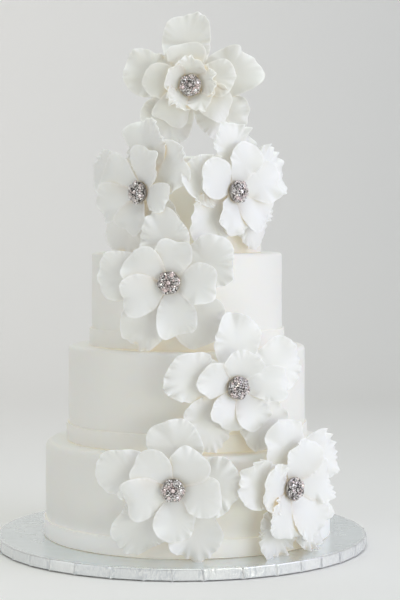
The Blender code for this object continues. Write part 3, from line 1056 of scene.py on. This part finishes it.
def flower_frame(name):
    """The matrix from a flower's own frame to the cake's."""
    if name == "crown":
        foot, facing = CROWN_FOOT, 0
    else:
        seat = SEATS[name]
        facing = seat.facing
        tier = TIERS[seat.tier - 1]
        clear = KNOB_RADIUS * math.sin(math.radians(abs(facing - seat.around)))
        angle = math.radians(seat.around)
        reach = tier.radius + clear
        foot = tier.middle + Vector((reach * math.sin(angle), -reach * math.cos(angle), 0))
        foot.z = seat.height * MM
    turn = Matrix.Rotation(math.radians(facing), 4, "Z") @ Matrix.Rotation(math.radians(90), 4, "X")
    return Matrix.Translation(foot) @ turn


# %% Petals of each flower
def ring(base, *rows):
    return [base._replace(**row) for row in rows]


FLOWERS = {
    "front_base": (
        ring(OUTER, dict(at=5, reach=68, width=58, frill=1.5), dict(at=88, reach=70, width=57, sway=1.4),
             dict(at=163, reach=80, width=54, frill=1.4), dict(at=229, reach=80, width=54),
             dict(at=296, reach=78, width=53)),
        ring(INNER, dict(at=350, reach=49), dict(at=58, reach=46), dict(at=136, reach=48),
             dict(at=194, reach=51), dict(at=273, reach=50, width=43, point=3, lean=3))),
    "right_base": (
        ring(OUTER, dict(at=33, reach=82, width=54), dict(at=97, reach=72, width=54, sway=1.4),
             dict(at=170, reach=70, width=56, cup=36, sway=1.5, frill=1.6),
             dict(at=248, reach=74, width=56, frill=1.4), dict(at=312, reach=79, width=58)),
        ring(INNER, dict(at=12, reach=50, width=50, frill=1), dict(at=72, reach=51, width=50, frill=0.8),
             dict(at=172, reach=46, width=56, sway=0.8, frill=1.2),
             dict(at=236, reach=54, width=52, frill=1.1), dict(at=300, reach=58, width=50, frill=0.7))),
    "second_tier": (
        ring(OUTER, dict(at=24, reach=82, width=52), dict(at=88, reach=76, width=50),
             dict(at=167, reach=77, width=56, frill=1.8), dict(at=230, reach=78, width=56),
             dict(at=309, reach=76, width=56)),
        ring(INNER, dict(at=6, reach=54, width=37, point=3), dict(at=85, reach=38, lift=42),
             dict(at=163, reach=46, width=38, tip=3), dict(at=243, reach=44, width=42),
             dict(at=300, reach=48, width=40, sway=0.4))),
    "third_tier": (
        ring(OUTER, dict(at=28, reach=74, width=54), dict(at=97, reach=75, width=52),
             dict(at=172, reach=79, width=50), dict(at=238, reach=76, width=53),
             dict(at=306, reach=76, width=58)),
        ring(INNER, dict(at=358, reach=50, width=45), dict(at=82, reach=44), dict(at=150, reach=50),
             dict(at=203, reach=52), dict(at=284, reach=56, width=44))),
    "upper_left": (
        ring(OUTER, dict(at=33, reach=72, width=56, sway=1.8, frill=1.6), dict(at=86, reach=78, width=60),
             dict(at=160, reach=80, width=56), dict(at=237, reach=74, width=56),
             dict(at=310, reach=64, width=50)),
        ring(INNER, dict(at=350, reach=47, width=33, peak=0.75, tip=3, frill=1),
             dict(at=62, reach=49, width=50, peak=0.72, sway=0.4),
             dict(at=145, reach=54, width=44), dict(at=197, reach=56, width=44),
             dict(at=254, reach=44, width=40))),
    "upper_right": (
        ring(OUTER, dict(at=24, reach=78, width=56, sway=1.2, frill=1.5),
             dict(at=93, reach=74, width=50, cup=30, frill=1.6),
             dict(at=165, reach=70, width=60, cup=60, sway=1.5, frill=1.6), dict(at=222, reach=72, width=58),
             dict(at=312, reach=67, width=56)),
        ring(INNER, dict(at=18, reach=55), dict(at=80, reach=52, width=39), dict(at=160, reach=57),
             dict(at=250, reach=46), dict(at=318, reach=49))),
    "crown": (
        ring(OUTER, dict(at=19, reach=78, width=58, point=-7, lean=-17, cup=24, frill=0.2),
             dict(at=94, reach=80, width=53, sway=1.3, frill=0.7),
             dict(at=163, reach=74, width=53, sway=1.7), dict(at=235, reach=72, width=60, sway=1.5),
             dict(at=318, reach=77, width=58, sway=1.5)),
        ring(INNER, dict(at=16, reach=49, width=42), dict(at=98, reach=47, width=41),
             dict(at=172, reach=50, width=41), dict(at=235, reach=48, width=40, curl=-55, sway=1.6),
             dict(at=326, reach=50, width=40, curl=-50, sway=1.4)),
        ring(HEART, dict(at=20), dict(at=90), dict(at=160), dict(at=232), dict(at=308))),
}
RINGS = ("outer_petals", "inner_petals", "heart_petals")


KNOBS = ((0.3, 8.5), (8.8, 16.5), (16.8, 22.5))     # from and to, along the flower's axis


def add_knob(mesh, place, layer):
    """The lump of paste that a ring's petals are stuck to, pressed flat like a cushion."""
    low, high = (height * MM for height in KNOBS[layer])
    lump = place @ Matrix.Translation((0, 0, 0.5 * (low + high)))
    lump = lump @ Matrix.Diagonal((KNOB_RADIUS, KNOB_RADIUS, 0.5 * (high - low), 1))
    shape = bmesh.new()
    shape.from_mesh(mesh)
    made = bmesh.ops.create_uvsphere(shape, u_segments=28, v_segments=14, radius=1, matrix=lump)
    for face in {face for point in made["verts"] for face in point.link_faces}:
        face.smooth = True
    shape.to_mesh(mesh)
    shape.free()


def make_flower(name, number):
    place = flower_frame(name)
    for layer, petals in enumerate(FLOWERS[name]):
        seeded = [p._replace(seed=100 * number + 10 * layer + i) for i, p in enumerate(petals)]
        thing = petal_ring(f"{name}_{RINGS[layer]}_fine", seeded)
        thing.matrix_world = place
        thing = as_plain_mesh(thing)
        add_knob(thing.data, place, layer)
        dress(thing, f"{name}_{RINGS[layer]}")


for number, name in enumerate(FLOWERS):
    make_flower(name, number)

# %% [markdown]
# ## The brooches
#
# In the middle of each flower sits a cluster brooch: a dark domed plate, six little cups on it, and
# in every cup a large faceted stone with a ring of small ones round it, held by beads of metal.
# Stones, cups and beads all repeat round circles, so two trees make them: one for the metal and one
# for the stones.  Both use `ring_of`, which sets copies on a circle and leans each one outwards.

# %% Copies round a circle
def ring_of(tree, shape, count, distance, lean=0.0, height=0.0, turn=0.0):
    """Copies of a shape on a circle in the plane, each leaning outwards by an angle."""
    circle = add_node(tree, "GeometryNodeMeshCircle", {"Vertices": count, "Radius": distance})
    place = tree.nodes.new("GeometryNodeInputPosition")
    outward = add_node(tree, "ShaderNodeVectorMath", {0: place.outputs[0]}, operation="NORMALIZE")
    leaning = add_node(tree, "ShaderNodeVectorMath", {
        0: outward.outputs[0], "Scale": math.tan(lean)}, operation="SCALE")
    upright = add_node(tree, "ShaderNodeVectorMath", {0: leaning.outputs[0], 1: (0, 0, 1)},
                       operation="ADD")
    facing = add_node(tree, "FunctionNodeAlignRotationToVector", {"Vector": upright.outputs[0]},
                      axis="Z")
    copies = add_node(tree, "GeometryNodeInstanceOnPoints", {
        "Points": circle.outputs["Mesh"], "Instance": shape, "Rotation": facing.outputs["Rotation"]})
    moved = add_node(tree, "GeometryNodeTransform", {
        "Geometry": copies.outputs["Instances"], "Translation": (0, 0, height),
        "Rotation": (0, 0, turn)})
    return moved.outputs["Geometry"]


def sized(tree, shape, size, height=0.0):
    """A shape of unit size made the given size and lifted."""
    scale = add_node(tree, "ShaderNodeCombineXYZ", {"X": size, "Y": size, "Z": size})
    moved = add_node(tree, "GeometryNodeTransform", {
        "Geometry": shape, "Translation": (0, 0, height), "Scale": scale.outputs[0]})
    return moved.outputs["Geometry"]


def together(tree, *shapes):
    join = tree.nodes.new("GeometryNodeJoinGeometry")
    for shape in shapes:
        tree.links.new(shape, join.inputs["Geometry"])
    return join.outputs["Geometry"]


# %% Sizes of a brooch
CLUSTERS = 6
CLUSTER_DISTANCE = 8.2 * MM
CLUSTER_LEAN = math.radians(24)
CLUSTER_HEIGHT = 6.4 * MM
SMALL_STONES = 8
SMALL_DISTANCE = 3.3 * MM
CUP_RADIUS = 4.3 * MM
LARGE_STONE, SMALL_STONE, MIDDLE_STONE = 2.15 * MM, 1.3 * MM, 2.4 * MM
PLATE_RADIUS = 11.6 * MM
PLATE_RIM = 3.0 * MM
PLATE_DOME = 4.4 * MM


# %% The tree of stones
def make_stone_tree():
    tree, given = shape_tree("cluster_stones", Clusters="int", Small_stones="int", Large="float",
                             Small="float", Seed="int")
    # A cut stone: eight slanting facets round a flat table.
    cut = add_node(tree, "GeometryNodeMeshCone", {
        "Vertices": 8, "Radius Top": 0.5, "Radius Bottom": 1.0, "Depth": 0.55})
    small = sized(tree, cut.outputs["Mesh"], given.outputs["Small"])
    large = sized(tree, cut.outputs["Mesh"], given.outputs["Large"], 0.5 * MM)
    middle = sized(tree, cut.outputs["Mesh"], MIDDLE_STONE, CLUSTER_HEIGHT + 1.4 * MM)
    small_ring = ring_of(tree, small, given.outputs["Small stones"], SMALL_DISTANCE,
                         lean=math.radians(20))
    cluster = together(tree, large, small_ring)
    clusters = ring_of(tree, cluster, given.outputs["Clusters"], CLUSTER_DISTANCE,
                       lean=CLUSTER_LEAN, height=CLUSTER_HEIGHT)
    chips = ring_of(tree, small, given.outputs["Clusters"], 3.8 * MM, lean=math.radians(10),
                    height=CLUSTER_HEIGHT + 0.5 * MM, turn=math.pi / CLUSTERS)
    real = add_node(tree, "GeometryNodeRealizeInstances", {
        "Geometry": together(tree, given.outputs["Geometry"], middle, clusters, chips)})
    # Each facet, and each stone as a whole, gets a random number for its painted glint.
    stone = tree.nodes.new("GeometryNodeInputMeshIsland")
    facet = tree.nodes.new("GeometryNodeInputIndex")
    of_stone = add_node(tree, "FunctionNodeRandomValue", {
        "ID": stone.outputs["Island Index"], "Seed": given.outputs["Seed"]}, data_type="FLOAT")
    of_facet = add_node(tree, "FunctionNodeRandomValue", {
        "ID": facet.outputs["Index"], "Seed": given.outputs["Seed"]}, data_type="FLOAT")
    glint = add_node(tree, "ShaderNodeMix", {
        "Factor": 0.65, "A": of_stone.outputs["Value"], "B": of_facet.outputs["Value"]})
    marked = add_node(tree, "GeometryNodeStoreNamedAttribute", {
        "Geometry": real.outputs["Geometry"], "Name": "glint", "Value": glint.outputs["Result"]},
        data_type="FLOAT", domain="FACE")
    tinted = add_node(tree, "GeometryNodeStoreNamedAttribute", {
        "Geometry": marked.outputs["Geometry"], "Name": "tint", "Value": of_stone.outputs["Value"]},
        data_type="FLOAT", domain="FACE")
    close_tree(tree, given, tinted.outputs["Geometry"], smooth=False)
    return tree


# %% The tree of metal
def make_setting_tree():
    tree, given = shape_tree("cluster_setting", Clusters="int", Small_stones="int")
    cup = add_node(tree, "GeometryNodeMeshCone", {
        "Vertices": 20, "Radius Top": CUP_RADIUS, "Radius Bottom": 2.6 * MM, "Depth": 1.6 * MM})
    lowered = add_node(tree, "GeometryNodeTransform", {
        "Geometry": cup.outputs["Mesh"], "Translation": (0, 0, -1.6 * MM)})
    bead = add_node(tree, "GeometryNodeMeshIcoSphere", {"Radius": 0.36 * MM, "Subdivisions": 2})
    beads = ring_of(tree, bead.outputs["Mesh"], given.outputs["Small stones"], CUP_RADIUS,
                    height=0.3 * MM, turn=math.pi / SMALL_STONES)
    inner_beads = ring_of(tree, bead.outputs["Mesh"], given.outputs["Small stones"], 2.2 * MM,
                          height=0.55 * MM, turn=math.pi / SMALL_STONES)
    cluster = together(tree, lowered.outputs["Geometry"], beads, inner_beads)
    clusters = ring_of(tree, cluster, given.outputs["Clusters"], CLUSTER_DISTANCE,
                       lean=CLUSTER_LEAN, height=CLUSTER_HEIGHT)
    post = add_node(tree, "GeometryNodeMeshCone", {
        "Vertices": 16, "Radius Top": 1.6 * MM, "Radius Bottom": 1.1 * MM,
        "Depth": CLUSTER_HEIGHT + 1.4 * MM - PLATE_DOME})
    raised = add_node(tree, "GeometryNodeTransform", {
        "Geometry": post.outputs["Mesh"], "Translation": (0, 0, PLATE_DOME)})
    shape = together(tree, given.outputs["Geometry"], raised.outputs["Geometry"], clusters)
    close_tree(tree, given, shape, smooth=False)
    return tree


STONE_TREE = make_stone_tree()
SETTING_TREE = make_setting_tree()

# %% [markdown]
# ## Crystal and silver
#
# Real cut stones are bright on one facet and almost black on the next.  The stones tree has stored a
# random number on each facet, and the crystal material turns it into a colour between those two, a
# painted glint, with a faint rose cast on some of the stones.

# %% Materials of the brooches
def make_crystal():
    material = finish("crystal", (0.9, 0.9, 0.9), (1.0, 1.0, 1.0), (0.06, 0.14), swell=300.0,
                      bump=0.0, Metallic=0.35)
    tree = material.node_tree
    shader = tree.nodes["Principled BSDF"]
    glint = add_node(tree, "ShaderNodeAttribute", attribute_name="glint")
    tint = add_node(tree, "ShaderNodeAttribute", attribute_name="tint")
    # Painted reflection: each facet's number picks a colour from almost black to white.
    ramp = add_node(tree, "ShaderNodeValToRGB", {"Fac": glint.outputs["Fac"]})
    stops = ramp.color_ramp.elements
    stops[0].position, stops[0].color = 0.22, (0.05, 0.045, 0.042, 1)
    stops[1].position, stops[1].color = 0.56, (1.0, 0.98, 0.98, 1)
    middle = stops.new(0.36)
    middle.color = (0.60, 0.56, 0.56, 1)
    rosy = add_node(tree, "ShaderNodeMapRange", {
        "Value": tint.outputs["Fac"], "From Min": 0.45, "From Max": 1.0, "To Max": 0.8}, clamp=True)
    colour = add_node(tree, "ShaderNodeMix", {
        "Factor": rosy.outputs["Result"], "A": ramp.outputs["Color"], "B": (1.0, 0.80, 0.79, 1)},
        data_type="RGBA", blend_type="MULTIPLY")
    tree.links.new(colour.outputs["Result"], shader.inputs["Base Color"])
    return material


CRYSTAL = make_crystal()
SILVER = finish("brooch_silver", (0.22, 0.20, 0.19), (0.60, 0.57, 0.55), (0.28, 0.42), swell=900.0,
                grain=3000.0, Metallic=1.0)
print("materials", CRYSTAL.name, SILVER.name)


# %% Making the brooches
def brooch_foot(name):
    """How far the brooch's solid starts from the flower's foot, along the flower's axis."""
    flat = flower_frame(name).inverted()
    return min((flat @ point.co).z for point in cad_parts[f"{name}_brooch"].data.vertices)


def make_brooch(name, number):
    place = flower_frame(name) @ Matrix.Translation((0, 0, brooch_foot(name)))
    place = place @ Matrix.Rotation(math.radians(23 * number), 4, "Z")
    profile = [(0, PLATE_DOME)] + arc((0, PLATE_RIM), PLATE_RADIUS, 80, 0, 10)
    dome = [(x, PLATE_RIM + (z - PLATE_RIM) * (PLATE_DOME - PLATE_RIM) / PLATE_RADIUS)
            for x, z in profile[1:]]
    profile = profile[:1] + dome + [(PLATE_RADIUS - 0.5 * MM, 0), (0, 0)]
    setting = turned(f"{name}_setting", profile, 48)
    setting.matrix_world = place
    run_nodes(setting, SETTING_TREE, Clusters=CLUSTERS, Small_stones=SMALL_STONES, Material=SILVER)
    dress(as_plain_mesh(setting), f"{name}_brooch")
    stones = add_object(f"{name}_stones", bpy.data.meshes.new("stones"))
    stones.matrix_world = place
    run_nodes(stones, STONE_TREE, Clusters=CLUSTERS, Small_stones=SMALL_STONES, Large=LARGE_STONE,
              Small=SMALL_STONE, Seed=number, Material=CRYSTAL)
    dress(as_plain_mesh(stones))


for number, name in enumerate(FLOWERS):
    make_brooch(name, number)

# %% [markdown]
# ## The stem of the top flower
#
# The top flower is wired: a thick wire leaves its back, bends down and goes into the highest tier.
# It is bound with floral tape, whose overlapping turns show as a fine screw-like relief.  The tree
# takes a Bezier segment as the route and measures the way along it and round it, so that each
# point's height in the relief follows from those two.

# %% The taped stem tree
STEM_RADIUS = 2 * MM
STEM_FOOT = (-11 * MM, 8 * MM)
STEM_LEAD = 2 * MM
TAPE_PITCH = 7 * MM
TAPE_STEP = 0.25 * MM


def make_stem_tree():
    tree, given = shape_tree("taped_stem", Start="vector", Start_handle="vector", End_handle="vector",
                             End="vector", Radius="float", Pitch="float", Step="float")
    bend = add_node(tree, "GeometryNodeCurvePrimitiveBezierSegment", {
        "Resolution": 150, "Start": given.outputs["Start"],
        "Start Handle": given.outputs["Start handle"], "End Handle": given.outputs["End handle"],
        "End": given.outputs["End"]}, mode="POSITION")
    measure = tree.nodes.new("GeometryNodeSplineParameter")
    along = add_node(tree, "GeometryNodeStoreNamedAttribute", {
        "Geometry": bend.outputs["Curve"], "Name": "along", "Value": measure.outputs["Length"]},
        data_type="FLOAT", domain="POINT")
    circle = add_node(tree, "GeometryNodeCurvePrimitiveCircle", {
        "Resolution": 24, "Radius": given.outputs["Radius"]}, mode="RADIUS")
    round_it = add_node(tree, "GeometryNodeStoreNamedAttribute", {
        "Geometry": circle.outputs["Curve"], "Name": "round", "Value": measure.outputs["Factor"]},
        data_type="FLOAT", domain="POINT")
    tube = add_node(tree, "GeometryNodeCurveToMesh", {
        "Curve": along.outputs["Geometry"], "Profile Curve": round_it.outputs["Geometry"],
        "Fill Caps": True})
    way = add_node(tree, "GeometryNodeInputNamedAttribute", {"Name": "along"}, data_type="FLOAT")
    turn = add_node(tree, "GeometryNodeInputNamedAttribute", {"Name": "round"}, data_type="FLOAT")
    turns = calc(tree, "ADD", calc(tree, "DIVIDE", way.outputs["Attribute"], given.outputs["Pitch"]),
                 turn.outputs["Attribute"])
    rise = calc(tree, "MULTIPLY", calc(tree, "FRACT", turns), given.outputs["Step"])
    normal = tree.nodes.new("GeometryNodeInputNormal")
    offset = add_node(tree, "ShaderNodeVectorMath", {0: normal.outputs["Normal"], "Scale": rise},
                      operation="SCALE")
    wound = add_node(tree, "GeometryNodeSetPosition", {
        "Geometry": tube.outputs["Mesh"], "Offset": offset.outputs[0]})
    close_tree(tree, given, wound.outputs["Geometry"])
    return tree


TAPE = finish("floral_tape", (0.72, 0.74, 0.70), (0.80, 0.81, 0.78), (0.6, 0.75), swell=90.0,
              grain=1500.0, bump=0.3)


def make_stem():
    foot = Vector((*STEM_FOOT, TIERS[-1].top + STEM_LEAD))
    start = CROWN_FOOT + Vector((0, STEM_LEAD, 0))
    reach = 0.5 * (start.z - foot.z)
    thing = add_object("crown_stem_taped", bpy.data.meshes.new("stem"))
    run_nodes(thing, make_stem_tree(), Start=start, End=foot, Radius=STEM_RADIUS - TAPE_STEP,
              Start_handle=start + Vector((0, 0.5 * reach, 0)),
              End_handle=foot + Vector((0, 0, reach)), Pitch=TAPE_PITCH, Step=TAPE_STEP,
              Material=TAPE)
    dress(as_plain_mesh(thing), "crown_stem")


make_stem()
